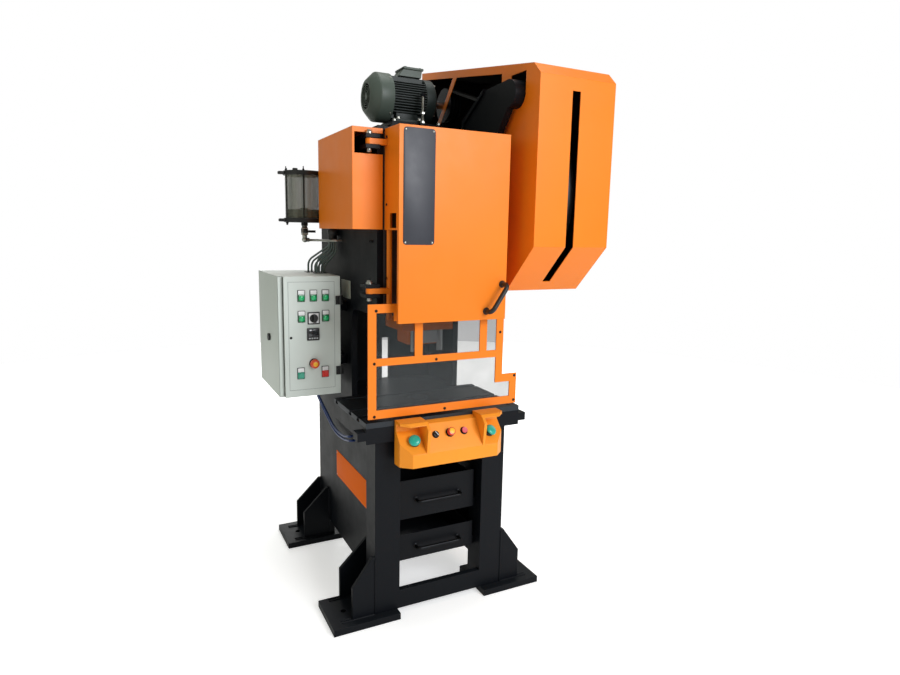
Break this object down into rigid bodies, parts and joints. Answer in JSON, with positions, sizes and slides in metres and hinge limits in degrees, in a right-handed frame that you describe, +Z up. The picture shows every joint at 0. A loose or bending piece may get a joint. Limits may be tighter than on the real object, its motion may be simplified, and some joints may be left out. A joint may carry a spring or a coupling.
{
  "type": "mechanical stamping press",
  "caption": "Open-front eccentric press on a C-frame with a guarded flywheel, a hinged front door with a clear guard, a two-hand console, a control cabinet and drawers.",
  "frame": {"origin": "centre of the four floor anchor holes, on the floor", "axes": "+Z up; +X towards the flywheel, the operator's right; -Y towards the operator in front of the press"},
  "size_m": [1.2, 1.063, 2.276],
  "materials": {
    "orange_paint": "gloss enamel",
    "black_paint": "semi-gloss enamel",
    "grey_paint": "powder coat",
    "console_paint": "semi-gloss enamel on castings",
    "motor_paint": "semi-gloss enamel",
    "drawer_paint": "semi-gloss enamel",
    "ground_steel": "ground",
    "zinc_steel": "zinc plated",
    "cast_iron": "machined grey iron",
    "bronze": "turned bearing bronze",
    "aluminium": "machined",
    "belt_rubber": "matt",
    "cable_sheath": "matt sheath",
    "hose": "extruded tube",
    "black_plastic": "moulded",
    "clear_sheet": "clear polycarbonate",
    "clear_tube": "clear acrylic tube",
    "green_plastic": "moulded",
    "red_plastic": "moulded",
    "chrome": "plated"
  },
  "bodies": {
    "frame": {"side_plate_left": "black_paint", "side_plate_right": "black_paint", "front_stand": "black_paint", "feet": "black_paint", "rear_web": "black_paint", "bed": "black_paint", "bolster_plate": "ground_steel", "head_casting": "cast_iron", "top_plate": "black_paint", "main_bearings": "bronze", "drive_belts": "belt_rubber", "flywheel_guard": "orange_paint", "guard_hanger_arm": "black_paint", "motor_base": "black_paint", "motor_stator": "motor_paint", "motor_fan_cowl": "motor_paint", "motor_terminal_box": "motor_paint", "side_cover": "orange_paint", "door_hinge_brackets": "black_paint", "door_hinge_pins": "zinc_steel", "drawer_runners": "black_paint", "cabinet_body": "grey_paint", "console_housing": "console_paint", "reservoir_caps": "aluminium", "reservoir_tube": "clear_tube", "oil_pipe": "zinc_steel", "cable_gland": "black_plastic", "control_cables": "cable_sheath", "air_hoses": "hose"},
    "crankshaft": {"crankshaft": "ground_steel", "clutch_hub": "cast_iron"},
    "connecting_rod": {"connecting_rod": "cast_iron", "adjusting_screw": "ground_steel"},
    "ram": {"ram": "orange_paint", "shank_clamp": "ground_steel"},
    "flywheel": {"flywheel": "cast_iron"},
    "motor_rotor": {"motor_rotor": "ground_steel", "motor_pulley": "cast_iron"},
    "guard_door": {"door_cover": "orange_paint", "door_hinge_post": "orange_paint", "guard_frame": "orange_paint", "guard_window": "clear_sheet", "door_handle": "black_plastic"},
    "drawer_upper": {"drawer_upper": "drawer_paint", "drawer_upper_pull": "chrome"},
    "drawer_lower": {"drawer_lower": "drawer_paint", "drawer_lower_pull": "chrome"},
    "cabinet_door": {"cabinet_door": "grey_paint", "cabinet_lamps": "green_plastic"},
    "cabinet_selector": {"cabinet_selector_knob": "black_plastic"},
    "cabinet_stop": {"cabinet_stop_button": "red_plastic"},
    "cabinet_start": {"cabinet_start_button": "green_plastic"},
    "cabinet_halt": {"cabinet_halt_button": "red_plastic"},
    "cabinet_lock": {"cabinet_lock": "chrome"},
    "palm_left": {"palm_button_left": "green_plastic"},
    "palm_right": {"palm_button_right": "green_plastic"},
    "console_selector": {"console_selector_knob": "black_plastic"},
    "console_stop": {"console_stop_button": "red_plastic"},
    "console_reset": {"console_reset_button": "red_plastic"},
    "oil_valve": {"oil_valve_lever": "black_plastic"}
  },
  "joints": [
    {"name": "crank_turn", "type": "hinge", "parent": "frame", "child": "crankshaft", "pos_m": [0, -0.2, 1.655], "axis": [1, 0, 0], "range_deg": [0, 180]},
    {"name": "rod_swing", "type": "hinge", "parent": "crankshaft", "child": "connecting_rod", "pos_m": [0, -0.2, 1.68], "axis": [1, 0, 0], "range_deg": [-180, 0]},
    {"name": "ram_slide", "type": "slide", "parent": "frame", "child": "ram", "axis": [0, 0, -1], "range_m": [0, 0.05]},
    {"name": "flywheel_spin", "type": "hinge", "parent": "frame", "child": "flywheel", "pos_m": [0, -0.2, 1.655], "axis": [1, 0, 0], "continuous": true},
    {"name": "motor_spin", "type": "hinge", "parent": "frame", "child": "motor_rotor", "pos_m": [0, 0.225, 2.09], "axis": [1, 0, 0], "continuous": true},
    {"name": "guard_door_hinge", "type": "hinge", "parent": "frame", "child": "guard_door", "pos_m": [-0.286, -0.392, 1.284], "axis": [0, 0, -1], "range_deg": [0, 100]},
    {"name": "upper_drawer_slide", "type": "slide", "parent": "frame", "child": "drawer_upper", "axis": [0, -1, 0], "range_m": [0, 0.27]},
    {"name": "lower_drawer_slide", "type": "slide", "parent": "frame", "child": "drawer_lower", "axis": [0, -1, 0], "range_m": [0, 0.27]},
    {"name": "cabinet_door_hinge", "type": "hinge", "parent": "frame", "child": "cabinet_door", "pos_m": [-0.3, -0.08, 0.829], "axis": [0, 0, 1], "range_deg": [0, 95]},
    {"name": "cabinet_selector_turn", "type": "hinge", "parent": "cabinet_door", "child": "cabinet_selector", "pos_m": [-0.409, -0.077, 1.149], "axis": [0, 1, 0], "range_deg": [0, 60]},
    {"name": "cabinet_stop_push", "type": "slide", "parent": "cabinet_door", "child": "cabinet_stop", "axis": [0, 1, 0], "range_m": [0, 0.005]},
    {"name": "cabinet_start_push", "type": "slide", "parent": "cabinet_door", "child": "cabinet_start", "axis": [0, 1, 0], "range_m": [0, 0.004], "stiffness_N_per_m": 600, "springref_m": -0.002},
    {"name": "cabinet_halt_push", "type": "slide", "parent": "cabinet_door", "child": "cabinet_halt", "axis": [0, 1, 0], "range_m": [0, 0.004], "stiffness_N_per_m": 600, "springref_m": -0.002},
    {"name": "cabinet_lock_turn", "type": "hinge", "parent": "frame", "child": "cabinet_lock", "pos_m": [-0.546, 0.112, 1.052], "axis": [1, 0, 0], "range_deg": [0, 90]},
    {"name": "palm_left_push", "type": "slide", "parent": "frame", "child": "palm_left", "axis": [0.2588, 0.683, -0.683], "range_m": [0, 0.006], "stiffness_N_per_m": 600, "springref_m": -0.002},
    {"name": "palm_right_push", "type": "slide", "parent": "frame", "child": "palm_right", "axis": [-0.2588, 0.683, -0.683], "range_m": [0, 0.006], "stiffness_N_per_m": 600, "springref_m": -0.002},
    {"name": "console_selector_turn", "type": "hinge", "parent": "frame", "child": "console_selector", "pos_m": [-0.072, -0.525, 0.7525], "axis": [0, 0.8321, -0.5547], "range_deg": [-45, 45]},
    {"name": "console_stop_push", "type": "slide", "parent": "frame", "child": "console_stop", "axis": [0, 0.8321, -0.5547], "range_m": [0, 0.005]},
    {"name": "console_reset_push", "type": "slide", "parent": "frame", "child": "console_reset", "axis": [0, 0.8321, -0.5547], "range_m": [0, 0.004], "stiffness_N_per_m": 600, "springref_m": -0.002},
    {"name": "oil_valve_turn", "type": "hinge", "parent": "frame", "child": "oil_valve", "pos_m": [-0.378, 0.165, 1.493], "axis": [0, 1, 0], "range_deg": [0, 90]}
  ],
  "couplings": [
    {"joint": "rod_swing", "follows": "crank_turn", "ratio": -1},
    {"joint": "ram_slide", "follows": "crank_turn", "m_per_rad": 0.015915},
    {"joint": "motor_spin", "follows": "flywheel_spin", "ratio": 4.9296}
  ]
}
